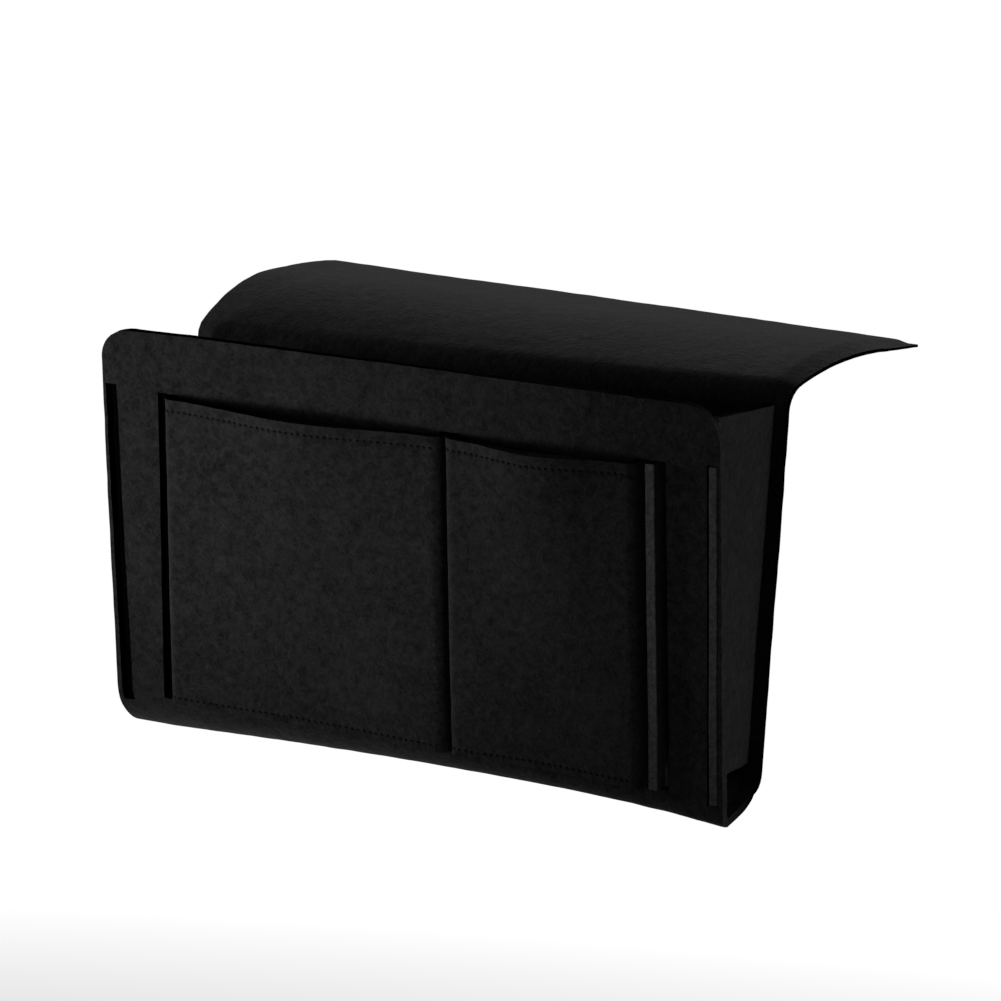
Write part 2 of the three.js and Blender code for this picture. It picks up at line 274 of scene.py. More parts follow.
def finish_felt(tree, nap, colour, bump_height, gloss, sheen):
    """Matt fibre with that height of nap in metres, that little gloss, and the sheen of its loose tips."""
    bump = add_node(tree, "ShaderNodeBump", inputs={"Strength": 0.8, "Distance": bump_height}, links={
        "Height": nap})
    felt = add_node(tree, "ShaderNodeBsdfPrincipled", inputs={
        "Roughness": 0.95, "Specular IOR Level": gloss, "Sheen Weight": sheen, "Sheen Roughness": 0.5,
        "Sheen Tint": linear("#c8c8c8")}, links={"Base Color": colour, "Normal": bump.outputs[0]})
    add_node(tree, "ShaderNodeOutputMaterial", links={"Surface": felt.outputs[0]})


def mixed(tree, first, second, share):
    """Two values laid over each other, with that share of the second."""
    rest = add_node(tree, "ShaderNodeMath", {"operation": "MULTIPLY"}, {1: 1 - share}, {
        0: first}).outputs[0]
    return add_node(tree, "ShaderNodeMath", {"operation": "MULTIPLY_ADD"}, {1: share}, {
        0: second, 2: rest}).outputs[0]


# %% Needle-punched felt
CLUMP_SIZE = 0.0040
CLOUD_SIZE = 0.030
NAP_HEIGHT = 0.0010
FELT_GLOSS = 0.08
FELT_SHEEN = 0.17


def make_felt():
    material, tree = empty_material("needle_punched_polyester_felt")
    nap = mixed(tree, fibre_strokes(tree), felt_noise(tree, CLUMP_SIZE, 4), 0.5)
    tone = mixed(tree, nap, felt_noise(tree, CLOUD_SIZE, 2), 0.15)
    colour = colour_of(tree, tone, "#080808", "#2e2e2e")
    finish_felt(tree, nap, colour, NAP_HEIGHT, FELT_GLOSS, FELT_SHEEN)
    return material


# %% Cut edge of the felt, with painted shade and a painted highlight
EDGE_FIBRE_SIZE = 0.0020
EDGE_NAP_HEIGHT = 0.0003
# The pale mix is a painted highlight. It grows towards the front's right side and where an edge faces out.
PAINTED_LIGHT_DIRECTION = (0.35, -1, 0)
PAINTED_LIGHT_FROM, PAINTED_LIGHT_TO = 0.150, 0.195
PAINTED_LIGHT_FACING = (0.45, -1, 0)
LEAST_FACING = 0.18
LEAST_PAINTED_LIGHT = 0.04


def reach_along(tree, coordinates, direction):
    """How far a place, or a normal, reaches in a direction."""
    vector = add_node(tree, "ShaderNodeTexCoord").outputs[coordinates]
    return add_node(tree, "ShaderNodeVectorMath", {"operation": "DOT_PRODUCT"}, {1: direction}, {
        0: vector}).outputs["Value"]


def make_cut_edge():
    material, tree = empty_material("cut_edge_of_polyester_felt")
    nap = felt_noise(tree, EDGE_FIBRE_SIZE, 5)
    painted_light_place = add_node(tree, "ShaderNodeMapRange", inputs={
        "From Min": PAINTED_LIGHT_FROM, "From Max": PAINTED_LIGHT_TO, "To Min": 0.0, "To Max": 1.0}, links={
        "Value": reach_along(tree, "Object", PAINTED_LIGHT_DIRECTION)}).outputs[0]
    lit_facing_share = add_node(tree, "ShaderNodeMapRange", inputs={
        "From Min": LEAST_FACING, "From Max": 1.0, "To Min": LEAST_PAINTED_LIGHT, "To Max": 1.0}, links={
        "Value": reach_along(tree, "Normal", PAINTED_LIGHT_FACING)}).outputs[0]
    painted_highlight = add_node(tree, "ShaderNodeMath", {"operation": "MULTIPLY"}, None, {
        0: painted_light_place, 1: lit_facing_share}).outputs[0]
    # The near-black colours are painted shade and the pale ones a painted highlight, mixed by the highlight's
    # share.
    colour = add_node(tree, "ShaderNodeMix", {"data_type": "RGBA"}, None, {
        0: painted_highlight, 6: colour_of(tree, nap, "#030303", "#090909"),
        7: colour_of(tree, nap, "#4a4a4a", "#646464")}).outputs[2]
    finish_felt(tree, nap, colour, EDGE_NAP_HEIGHT, 0.0, 0.0)
    return material


felt_material = make_felt()
cut_edge_material = make_cut_edge()

# %% [markdown]
# ## Sewing thread
#
# The pockets are sewn with spun polyester thread, also black. It lies a little sunk in the felt, so each
# stitch reads as a dark dash. Two plies are twisted round each other, which gives it a fine diagonal rib.
# The wave texture repeats about 6.3 times as often as its scale says, so the scale is divided by that.

# %% Spun polyester thread
THREAD_RIB = 0.0005
RIB_TURN = math.radians(35)
WAVES_PER_SCALE = 6.3


def make_thread():
    material, tree = empty_material("spun_polyester_thread")
    place = add_node(tree, "ShaderNodeTexCoord").outputs["Object"]
    turned = add_node(tree, "ShaderNodeMapping", inputs={"Rotation": (0, 0, RIB_TURN)}, links={
        "Vector": place})
    rib = add_node(tree, "ShaderNodeTexWave", inputs={
        "Scale": 1 / THREAD_RIB / WAVES_PER_SCALE, "Distortion": 1.0}, links={"Vector": turned.outputs[0]})
    bump = add_node(tree, "ShaderNodeBump", inputs={"Strength": 0.5, "Distance": 0.0001}, links={
        "Height": rib.outputs["Fac"]})
    tone = add_node(tree, "ShaderNodeValToRGB", links={"Fac": rib.outputs["Fac"]})
    tone.color_ramp.elements[0].color = linear("#010101")
    tone.color_ramp.elements[1].color = linear("#050505")
    thread = add_node(tree, "ShaderNodeBsdfPrincipled", inputs={
        "Roughness": 0.7, "Specular IOR Level": 0.2}, links={
        "Base Color": tone.outputs["Color"], "Normal": bump.outputs[0]})
    add_node(tree, "ShaderNodeOutputMaterial", links={"Surface": thread.outputs[0]})
    return material


thread_material = make_thread()

# %% [markdown]
# ## Cutting and folding felt
#
# A flat piece starts as a grid. Its lines are spread so that some of them fall exactly on the edges of slots
# and hems, and the faces inside a slot are deleted. Then each point is carried to its place on the folded
# piece, and the Solidify modifier gives the felt its thickness on the lining side. A bevel rounds the cut
# edges a little, because felt is never sharp, and takes the cut edge's material. A soft noise moves
# neighbouring pieces alike, so that they lose their ruled look without touching each other. Blender
# shifts this noise by the clock, so it gets a seed, and the lesson gives the same felt each time.

# %% Helpers for cutting
def spread(knots, step):
    """Stations that hold every knot, with no two further apart than step."""
    stations = [knots[0]]
    for a, b in zip(knots, knots[1:]):
        count = max(1, math.ceil((b - a) / step - 1e-6))
        stations += [lerp(a, b, k / count) for k in range(1, count + 1)]
    return stations


def cut_flat(columns, rows, slots=()):
    """A flat grid of those columns and rows, without the faces in the slots (left, right, low, high)."""
    bm = bmesh.new()
    across, along = len(columns) - 1, len(rows) - 1
    bmesh.ops.create_grid(bm, x_segments=across, y_segments=along, size=0.5)
    for vert in bm.verts:
        column = columns[round((vert.co.x + 0.5) * across)]
        row = rows[round((vert.co.y + 0.5) * along)]
        vert.co = (column, row, 0)
    inside = [face for face in bm.faces for slot in slots if in_slot(face.calc_center_median(), slot)]
    bmesh.ops.delete(bm, geom=list(set(inside)), context="FACES")
    return bm


def in_slot(place, slot):
    left, right, low, high = slot
    return left < place.x < right and low < place.y < high


# %% Helpers for folding
WAVE_SIZE = 0.070
WAVE_DEPTH = 0.0004
CUT_SIZE = 0.009
CUT_DEPTH = 0.00018
NOISE_SEED = 1
EDGE_ROUND = 0.0006
SHARP_FROM = math.radians(50)

noise.seed_set(NOISE_SEED)


def soften(place):
    """Moves a place by the slow waves of soft felt and the small waver of a cut edge."""
    slow = noise.noise_vector(place / WAVE_SIZE) * WAVE_DEPTH
    small = noise.noise_vector(place / CUT_SIZE) * CUT_DEPTH
    return place + slow + small


def link_mesh(name, bm, *materials):
    mesh = bpy.data.meshes.new(name)
    bm.to_mesh(mesh)
    bm.free()
    piece = bpy.data.objects.new(name, mesh)
    bpy.context.collection.objects.link(piece)
    for material in materials:
        mesh.materials.append(material)
    return piece


# %% Helpers for finishing a felt piece
CUT_EDGE_SLOT = 1


def thicken(piece, lining_side, thin_to, thickness):
    thick = piece.modifiers.new("felt thickness", "SOLIDIFY")
    thick.thickness = thickness
    thick.offset = lining_side
    thick.use_even_offset = True
    thick.material_offset_rim = CUT_EDGE_SLOT
    if thin_to:
        thick.vertex_group = "full_thickness"
        thick.thickness_vertex_group = thin_to
    rounding = piece.modifiers.new("soft cut edges", "BEVEL")
    rounding.width = EDGE_ROUND
    rounding.segments = 3
    rounding.limit_method = "ANGLE"
    rounding.angle_limit = SHARP_FROM
    rounding.harden_normals = True
    rounding.material = CUT_EDGE_SLOT


def felt_piece(name, bm, fold, body, nodes, lining_side=-1, thinning=None, thin_to=0, thickness=FELT):
    """Folds a flat cut and makes it a felt object that rides on a body and stands for its CAD nodes."""
    flat = bm.loops.layers.uv.new("flat_cut")
    for face in bm.faces:
        for loop in face.loops:
            loop[flat].uv = loop.vert.co.xy
    area = sum(face.calc_area() for face in bm.faces)
    if thinning:
        groups = bm.verts.layers.deform.new()
        for vert in bm.verts:
            vert[groups][0] = thinning(vert.co.x, vert.co.y)
    for vert in bm.verts:
        vert.co = soften(fold(vert.co.x, vert.co.y))
    piece = link_mesh(name, bm, felt_material, cut_edge_material)
    piece.data.shade_smooth()
    if thinning:
        piece.vertex_groups.new(name="full_thickness")
    thicken(piece, lining_side, thin_to, thickness)
    if body:
        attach(piece, body)
    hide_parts(*nodes)
    print(name, "is cut from", round(area * 1e4), "square cm of felt")
    return piece, area


# %% [markdown]
# ## The long sheet's side view
#
# Seen from the end, the sheet is a chain of straight runs and arcs: down the front, round the bottom fold,
# along the bottom, up the back, over the bend of the flap, and along its slow rise to the flat end. The
# bottom fold is softer at the left than at the right, and the flap's bend is tighter there, so the chain is
# worked out for each column by itself.

# %% Runs and arcs of the side view
def corner_arc(corner, before, after, radius):
    """Centre, start, end and half angle of an arc that rounds a corner between two directions from it."""
    half = math.acos(before.dot(after)) / 2
    centre = corner + (before + after).normalized() * radius / math.sin(half)
    cut = radius / math.tan(half)
    return centre, corner + before * cut, corner + after * cut, half


def by_side(sizes, share):
    return lerp(sizes[-1], sizes[1], share)


def foot_sag_at(share):
    side, far = (-1, 0) if share < SAG_FROM_SHARE else (1, 1)
    return FOOT_SAG[side] * ((share - SAG_FROM_SHARE) / (far - SAG_FROM_SHARE)) ** SAG_POWER[side]


class Chain:
    """Runs and arcs end to end, each with the length along the chain at which it starts."""

    def __init__(self):
        self.parts = []
        self.length = 0

    def run(self, start, end):
        self.parts.append((self.length, "run", start, (end - start).normalized()))
        self.length += (end - start).length

    def arc(self, centre, radius, start_angle, turn):
        self.parts.append((self.length, "arc", centre, (radius, start_angle, turn)))
        self.length += radius * abs(turn)

    def place_at(self, distance):
        start, kind, place, shape = [part for part in self.parts if part[0] <= distance + 1e-9][-1]
        if kind == "run":
            return place + shape * (distance - start)
        radius, start_angle, turn = shape
        angle = start_angle + math.copysign((distance - start) / radius, turn)
        return place + Vector((math.cos(angle), math.sin(angle))) * radius


# %% The chain of one column, from the front's top edge to the flap's far edge
FOLD_CLEAR = 0.004


def side_chain(share):
    """The chain at a share from the left side to the right, and the lengths along it of its marks.

    The marks are the front's top and foot, the bottom's middle, the start of the flap's bend, the start of
    its flat end, and its far edge. The last pair is where the two bottom folds start.
    """
    chain = Chain()
    line = front_yz(0, 0)
    foot = line - UP * foot_sag_at(share)
    heel = Vector((BACK_FACE, by_side(BACK_FOOT_HEIGHT, share)))
    along = (heel - foot).normalized()
    fold_radius = by_side(FOLD_RADIUS, share)
    centre, start, bottom_start, half = corner_arc(foot, UP, along, fold_radius)
    chain.run(line + UP * FRONT_HEIGHT, start)
    arc_start = chain.length
    chain.arc(centre, fold_radius, math.atan2(*(start - centre).yx), math.pi - 2 * half)
    centre, start, end, half = corner_arc(heel, -along, Vector((0, 1)), BACK_FOLD_RADIUS)
    bottom_middle = chain.length + (start - bottom_start).length / 2
    chain.run(bottom_start, start)
    heel_start = chain.length
    chain.arc(centre, BACK_FOLD_RADIUS, math.atan2(*(start - centre).yx), math.pi - 2 * half)
    crease = Vector((BACK_FACE, BEND_START))
    chain.run(end, crease)
    bend_start = chain.length
    level = add_flap(chain, crease, share)
    marks = [0, FRONT_HEIGHT - FOLD_CLEAR, bottom_middle, bend_start, level, chain.length]
    return chain, marks, (arc_start, heel_start)


def add_flap(chain, crease, share):
    """The bend above the back panel, the slow rise and the flat end. Gives the length where that starts."""
    radius = by_side(FLAP_BEND_RADIUS, share)
    slope = by_side(FLAP_SLOPE, share)
    rise = FOLD_LINE.y + FLAP_RISE - BEND_START
    bend = crease + Vector((radius, 0))
    chain.arc(bend, radius, math.pi, slope - math.pi / 2)
    rise_radius = (rise - radius * math.cos(slope)) / (1 - math.cos(slope))
    crest = bend + Vector((-math.sin(slope), math.cos(slope))) * (radius - rise_radius)
    chain.arc(crest, rise_radius, math.pi / 2 + slope, -slope)
    level = chain.length
    chain.run(crest + Vector((0, rise_radius)), Vector((BACK_FACE + FLAP_REACH, crest.y + rise_radius)))
    return level


middle_marks = side_chain(0.5)[1]
print("the sheet is", round(1000 * middle_marks[-1]), "mm long down its middle")

# %% [markdown]
# ## Cutting the long sheet
#
# The front's top corners are rounded, its sides taper to the narrower back, and five slots are cut in it:
# one at each side for a gusset's tab, and three for the ends of the pockets. The slots' bottoms sit a little
# higher at the left, like the pockets' lower edges.
#
# Soft felt doesn't keep the straight lines of its cut. The foot sags towards both ends, the front's top left
# corner droops, the flap has a low hump at its left, and its right side and far edge are pressed thin. Each
# of these is a small formula of its own, so that one of them can be changed without the others.

# %% Slots and knots
def pocket_foot_at(x):
    share = (x - WIDE_POCKET[0]) / (NARROW_POCKET[1] - WIDE_POCKET[0])
    return by_side(POCKET_FOOT, share)


HALF = FRONT_WIDTH / 2
TAB_SLOT = (EDGE_STRIP_TOP - CLEARANCE, EDGE_STRIP_TOP + FELT + CLEARANCE)
RIGHT_SLOT_EDGE = NARROW_POCKET[1] + STRIP_GAP + FELT + RIGHT_SLOT_OPENING
POCKET_SLOTS = [
    (WIDE_POCKET[0] - LEFT_SLOT_OPENING, WIDE_POCKET[0] + FELT + SLOT_CLEARANCE),
    (WIDE_POCKET[1] - FELT - SLOT_CLEARANCE, NARROW_POCKET[0] + FELT + SLOT_CLEARANCE),
    (NARROW_POCKET[1] - FELT - SLOT_CLEARANCE, RIGHT_SLOT_EDGE),
]


def down_sheet(height):
    """How far down the flat sheet a height on the front lies."""
    return FRONT_HEIGHT - height


def slot_rectangles():
    slots = []
    for left, right in POCKET_SLOTS:
        foot = pocket_foot_at((left + right) / 2) - SLOT_CLEARANCE
        slots.append((left, right, down_sheet(POCKET_TOP + SLOT_CLEARANCE), down_sheet(foot)))
    for side, foot in TAB_FOOT.items():
        edges = sorted(side * (HALF - offset) for offset in TAB_SLOT)
        slots.append((*edges, down_sheet(SLOT_TOP), down_sheet(foot)))
    return slots


# %% Where each column goes across the folded sheet
SHEET_STEP = 0.0024
CORNER_STEPS = 8
INNER_HALF = 0.134
NARROWING_POWER = 2.5
narrowing = {side: [float(np.interp(end, marks, middle_marks)) for end in ends]
             for side, (_, marks, ends) in ((-1, side_chain(0)), (1, side_chain(1)))}


def half_at(side, down):
    """How far from the middle a side edge is, that far down the sheet, with the corner still square."""
    start, end = narrowing[side]
    share = min(max((down - start) / (end - start), 0), 1)
    height = FRONT_HEIGHT - min(down, start)
    return lerp(front_half_at(side, height), BACK_HALF, share ** NARROWING_POWER)


def rounded_half_at(side, down):
    corner = FRONT_CORNER[side]
    if down >= corner:
        return half_at(side, down)
    return half_at(side, down) - corner + math.sqrt(corner ** 2 - (corner - down) ** 2)


def across_at(x, down):
    """Carries a column of the flat cut to its place across the sheet."""
    side = 1 if x > 0 else -1
    height = max(FRONT_HEIGHT - down, 0)
    shift = POCKET_FOOT_SHIFT * (1 - height / FRONT_HEIGHT)
    if abs(x) < INNER_HALF:
        return x - shift
    half = half_at(side, down)
    strip = edge_strip_at(height)
    flat_knots = [INNER_HALF, HALF - TAB_SLOT[1], HALF - TAB_SLOT[0], HALF]
    inner = INNER_HALF - side * shift
    knots = [inner, half - strip - FELT - TAB_SIDE_GAP[side], half - strip + CLEARANCE, half]
    reach = float(np.interp(abs(x), flat_knots, knots))
    return side * lerp(inner, rounded_half_at(side, down), (reach - inner) / (half - inner))


# %% Where the felt sags, swells and is pressed thin
DROOP_POWER = 1.5
HUMP_TURN = 2.67
THIN_FROM = 0.060
THIN_SIDE = 0.012
THIN_TO = 0.30
FAR_EDGE_LOSS = 0.64
RIGHT_SIDE_LOSS = 0.8


def droop_at(share, down):
    """How far the front's top left corner hangs down."""
    return CORNER_DROOP * max(1 - share / DROOP_SHARE, 0) ** DROOP_POWER * max(1 - down / DROOP_DEPTH, 0)


def swell_at(share, y):
    """The low hump that the flap has at its left side, towards the far edge."""
    along = (y - SWELL_FROM) / (BACK_FACE + FLAP_REACH - SWELL_FROM)
    return FLAP_SWELL * math.sin(HUMP_TURN * along) * max(1 - share / SWELL_SHARE, 0) if 0 < along < 1 else 0


def full_thickness_at(x, down):
    """The flap is pressed thinner along its right side and its far edge, most of all where they meet."""
    share = (x + HALF) / (2 * HALF)
    near_edge = min(max(1 - (middle_marks[-1] - down) / THIN_FROM, 0), 1)
    near_side = min(max(1 - (HALF - x) / THIN_SIDE, 0), 1)
    on_flap = min(max((down - middle_marks[3]) / THIN_SIDE, 0), 1)
    far_loss = FAR_EDGE_LOSS * share ** 2 * near_edge ** 1.5
    return max(1 - far_loss - RIGHT_SIDE_LOSS * near_side ** 2 * on_flap, 0)


# %% Fold the sheet
chains = {}


def fold_sheet(x, down):
    share = round((x + HALF) / (2 * HALF), 6)
    if share not in chains:
        chains[share] = side_chain(share)[:2]
    chain, marks = chains[share]
    place = chain.place_at(float(np.interp(down, middle_marks, marks)))
    height = place.y + swell_at(share, place.x) - droop_at(share, down)
    return origin + Vector((across_at(x, down), place.x, height))


def cut_long_sheet():
    slots = slot_rectangles()
    edges = {edge for slot in slots for edge in slot[:2]}
    columns = spread(sorted(edges | {-HALF, -INNER_HALF, INNER_HALF, HALF}), SHEET_STEP)
    corner_angles = [math.pi / 2 * k / CORNER_STEPS for k in range(CORNER_STEPS + 1)]
    arc_rows = [FRONT_CORNER[1] * (1 - math.cos(angle)) for angle in corner_angles]
    slot_rows = {edge for slot in slots for edge in slot[2:]}
    rows = spread(sorted(set(arc_rows) | slot_rows | set(middle_marks)), SHEET_STEP)
    return cut_flat(columns, rows, slots)


long_sheet, sheet_area = felt_piece("long_sheet", cut_long_sheet(), fold_sheet, None,
                                    ["body_sheet", "mattress_flap"], 1, full_thickness_at, THIN_TO)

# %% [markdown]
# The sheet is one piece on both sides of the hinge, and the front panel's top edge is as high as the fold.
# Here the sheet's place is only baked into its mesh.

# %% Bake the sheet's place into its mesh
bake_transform(long_sheet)

# %% [markdown]
# ## Gussets
#
# A gusset is a felt plate that slants in towards the back. A tab along its front edge stands in the front
# panel's slot, and its cut edge shows there as a narrow vertical band. The left tab stands just behind the
# panel instead, and flares out by two millimetres, so it closes its slot from the inner side. A gusset's foot
# ends above the bottom, so a small corner hole stays open, and the left one's foot is a shallow curve. The
# grid's first columns lie behind the front panel and follow its lean.

# %% Cut and fold the gussets
def gusset_face_at(side, y, z):
    height = z / math.cos(FRONT_LEAN)
    front_y = (FRONT_HEIGHT - height) * math.sin(FRONT_LEAN)
    share = (y - front_y) / (MOUTH_DEPTH - front_y)
    return lerp(front_half_at(side, height) - edge_strip_at(height), FRONT_WIDTH / 2 - BACK_INSET, share)


def make_gusset(side, name, node):
    seat = FELT + CLEARANCE
    neck = seat + TAB_NECK
    back = MOUTH_DEPTH - CLEARANCE
    top = FRONT_TOP - GUSSET_DROP_FRONT[side]
    foot_shares, foot_heights = GUSSET_FOOT[side]
    tab_low = (TAB_FOOT[side] + CLEARANCE) * math.cos(FRONT_LEAN)
    tab_high = (SLOT_TOP - CLEARANCE) * math.cos(FRONT_LEAN)
    columns = spread(sorted({TAB_RECESS[side], seat, neck, back}), SHEET_STEP)
    rows = spread([tab_low, foot_heights[0], tab_high, top], SHEET_STEP)
    bm = cut_flat(columns, rows, [(-1, seat, tab_high, top), (neck, back, -1, foot_heights[0])])

    def fold(depth, z):
        slant = max(depth - neck, 0) / (back - neck)
        if slant > 0:
            low = float(np.interp(slant, foot_shares, foot_heights))
            high = lerp(top, FRONT_TOP - GUSSET_DROP_BACK[side], slant)
            z = lerp(low, high, (z - foot_heights[0]) / (top - foot_heights[0]))
        face = (FRONT_HEIGHT - z / math.cos(FRONT_LEAN)) * math.sin(FRONT_LEAN)
        y = float(np.interp(depth, [0, neck, back], [face, face + neck / math.cos(FRONT_LEAN), back]))
        flare = TAB_FLARE[side] * max(1 - max(depth - seat, 0) / FLARE_LENGTH, 0)
        return origin + Vector((side * (gusset_face_at(side, y, z) + flare), y, z))

    piece, area = felt_piece(name, bm, fold, "caddy", [node], side * -1)
    return piece


left_gusset = make_gusset(-1, "left_gusset_felt", "left_gusset")
right_gusset = make_gusset(1, "right_gusset_felt", "right_gusset")

# %% [markdown]
# ## Pockets
#
# Each pocket is a flat piece whose two ends turn back through slots in the front panel and are sewn to its
# inner side. The turn is tight, five millimetres. The lower edge is sewn down to the panel, while the mouth
# stands open and bulges most in its middle. A row of stitches runs along the mouth's hem and another along
# the foot. The thread pulls the felt in, most of all where the needle went through, so each row lies in a
# shallow puckered groove.

# %% Across a pocket
SPAN_STEPS = 24
QUARTER_STEPS = 6


def pocket_profile(left, right, share):
    """Points across a pocket at a share of its height: x and how far out of the panel's face."""
    end_proud = lerp(POCKET_FOOT_DEPTH, POCKET_MOUTH_DEPTH, share)
    radius = POCKET_EDGE_RADIUS
    angles = [math.pi / 2 * k / QUARTER_STEPS for k in range(QUARTER_STEPS + 1)]
    first = [(left + radius * (1 - math.cos(a)), end_proud - radius * (1 - math.sin(a))) for a in angles]
    last = [(left + right - x, out) for x, out in reversed(first)]
    middle = []
    for k in range(1, SPAN_STEPS):
        swell = math.sin(math.pi * k / SPAN_STEPS) ** 2
        foot_proud = lerp(POCKET_FOOT_DEPTH, FELT + CLEARANCE, swell)
        out = lerp(foot_proud, POCKET_MOUTH_DEPTH, share) + POCKET_BULGE * share * share * swell
        middle.append((lerp(left + radius, right - radius, k / SPAN_STEPS), out))
    tail = -FELT - POCKET_TAIL
    return [(left, tail), *first, *middle, *last, (right, tail)]


def profile_lengths(points):
    lengths = [0]
    for a, b in zip(points, points[1:]):
        lengths.append(lengths[-1] + math.dist(a, b))
    return lengths


# %% Stitches: one thread dash between two needle holes
PITCH = 0.0032
DASH = 0.0018
THREAD_RADIUS = 0.0006
HEM = 0.0054
FOOT_SEAM = 0.0031
GROOVE_DEPTH = 0.0006
GROOVE_HALF = 0.0011
GROOVE_ROWS = (0.5, 1, 1.8)
SEAM_STEP = PITCH / 4
RING_CORNERS = 6
STITCH_RINGS = ((0, -1.2, 0.6), (0.12, 0.0, 0.9), (0.5, 0.45, 1.0), (0.88, 0.0, 0.9), (1, -1.2, 0.6))
STITCH_FACES = RING_CORNERS * (len(STITCH_RINGS) - 1) + 2


def groove_at(across_seam, along_seam):
    """How deep the felt is pulled in, that far from a seam and along it."""
    pull = 0.7 + 0.3 * math.cos(2 * math.pi * along_seam / PITCH)
    return GROOVE_DEPTH * pull * math.exp(-(across_seam / GROOVE_HALF) ** 2)


def add_stitch(bm, start, end, out):
    """A thread dash of rings: each one's share of the length, its rise in radii and its scale."""
    run = (end - start).normalized()
    side = run.cross(out).normalized()
    rings = []
    for share, rise, scale in STITCH_RINGS:
        middle = start.lerp(end, share) + out * THREAD_RADIUS * rise
        ring = []
        for k in range(RING_CORNERS):
            angle = math.tau * k / RING_CORNERS
            spoke = (side * math.cos(angle) + out * math.sin(angle)) * THREAD_RADIUS * scale
            ring.append(bm.verts.new(middle + spoke))
        rings.append(ring)
    for lower, upper in zip(rings, rings[1:]):
        for k in range(RING_CORNERS):
            bm.faces.new((lower[k], lower[k - 1], upper[k - 1], upper[k]))
    bm.faces.new(rings[0])
    bm.faces.new(reversed(rings[-1]))


# %% Cut, fold and sew the pockets
def make_pocket(name, node, ends):
    left, right = ends
    flat_knots = profile_lengths(pocket_profile(left, right, 0))
    turned = POCKET_TAIL + FELT + POCKET_EDGE_RADIUS
    columns = spread([0, turned, flat_knots[-1] - turned, flat_knots[-1]], SEAM_STEP)
    height = POCKET_TOP - pocket_foot_at((left + right) / 2)
    seams = (FOOT_SEAM, height - HEM)
    near = [seam + side * GROOVE_HALF * reach
            for seam in seams for side in (-1, 1) for reach in GROOVE_ROWS]
    rows = spread(sorted([0, *seams, *near, height]), SHEET_STEP)
    profiles = {row: pocket_profile(left, right, row / height) for row in rows}

    def surface(along, up):
        profile = profiles[min(profiles, key=lambda row: abs(row - up))]
        x = float(np.interp(along, flat_knots, [point[0] for point in profile]))
        proud = float(np.interp(along, flat_knots, [point[1] for point in profile]))
        return x, lerp(pocket_foot_at(x), POCKET_TOP, up / height), proud

    def fold(along, up):
        x, on_slope, proud = surface(along, up)
        sunk = sum(groove_at(up - seam, along - turned) for seam in seams)
        sunk *= min(max(min(along - turned, flat_knots[-1] - turned - along) / PITCH + 1, 0), 1)
        return on_front(x, on_slope, proud - sunk)

    piece, area = felt_piece(name, cut_flat(columns, rows), fold, "caddy", [node], -1)
    sew(name.replace("felt", "stitches"), fold, seams, turned, flat_knots[-1] - turned)
    return piece


def sew(name, fold, seams, start, end):
    """Rows of stitches on a folded piece, along those heights of its flat cut."""
    bm = bmesh.new()
    out = Vector((0, *OUT))
    for seam in seams:
        for k in range(math.floor((end - start) / PITCH)):
            first = start + k * PITCH + (PITCH - DASH) / 2
            add_stitch(bm, soften(fold(first, seam)), soften(fold(first + DASH, seam)), out)
    piece = link_mesh(name, bm, thread_material)
    piece.data.shade_smooth()
    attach(piece, "caddy")
    print(name, "has", len(piece.data.polygons) // STITCH_FACES, "stitches")


wide_pocket = make_pocket("wide_pocket_felt", "wide_pocket", WIDE_POCKET)
narrow_pocket = make_pocket("narrow_pocket_felt", "narrow_pocket", NARROW_POCKET)

# %% [markdown]
# ## The end strip
#
# A strip of the same felt is set on edge in the slot at the narrow pocket's right end, and its cut edge
# stands out of the panel. Nothing presses that edge, so its fibres have opened up and it is a little thicker.

# %% Cut and set the end strip
def make_end_strip():
    left = NARROW_POCKET[1] + STRIP_GAP
    slot_left, slot_right = POCKET_SLOTS[2]
    foot = pocket_foot_at((slot_left + slot_right) / 2) - SLOT_CLEARANCE + CLEARANCE
    top = POCKET_TOP + SLOT_CLEARANCE - CLEARANCE
    columns = spread([STRIP_PROUD - STRIP_DEPTH, STRIP_PROUD], SHEET_STEP)
    rows = spread([foot, top], SHEET_STEP)
    bm = cut_flat(columns, rows)
    piece, area = felt_piece("end_strip_felt", bm, lambda out, up: on_front(left, up, out), "caddy",
                             ["pocket_end_strip"], -1, thickness=STRIP_THICKNESS)
    return piece


end_strip = make_end_strip()

# %% [markdown]
# ## Studio
#
# The floor is far below, as under a bed, and pale. It keeps the caddy's shadow near it, and further off it
# goes over to the white of the background for the camera alone.
#
# Black felt shows its shape only where the light on it changes. Two lamps stand at the left front. Snoots
# narrow their cones, so their light falls off along the front panel. A softbox at the right, behind the
# panel's plane, lights the gusset and leaves the front alone, and one behind and above lights the flap. A
# weak one straight above fills the flap's near side. It can't reach the front, whose top leans out.

# %% Floor
FLOOR_DROP = 0.30
FLOOR_SHADE_REACH = 0.5
FLOOR_WHITE_REACH = 1.4
LEAST_WHITE = 0.35


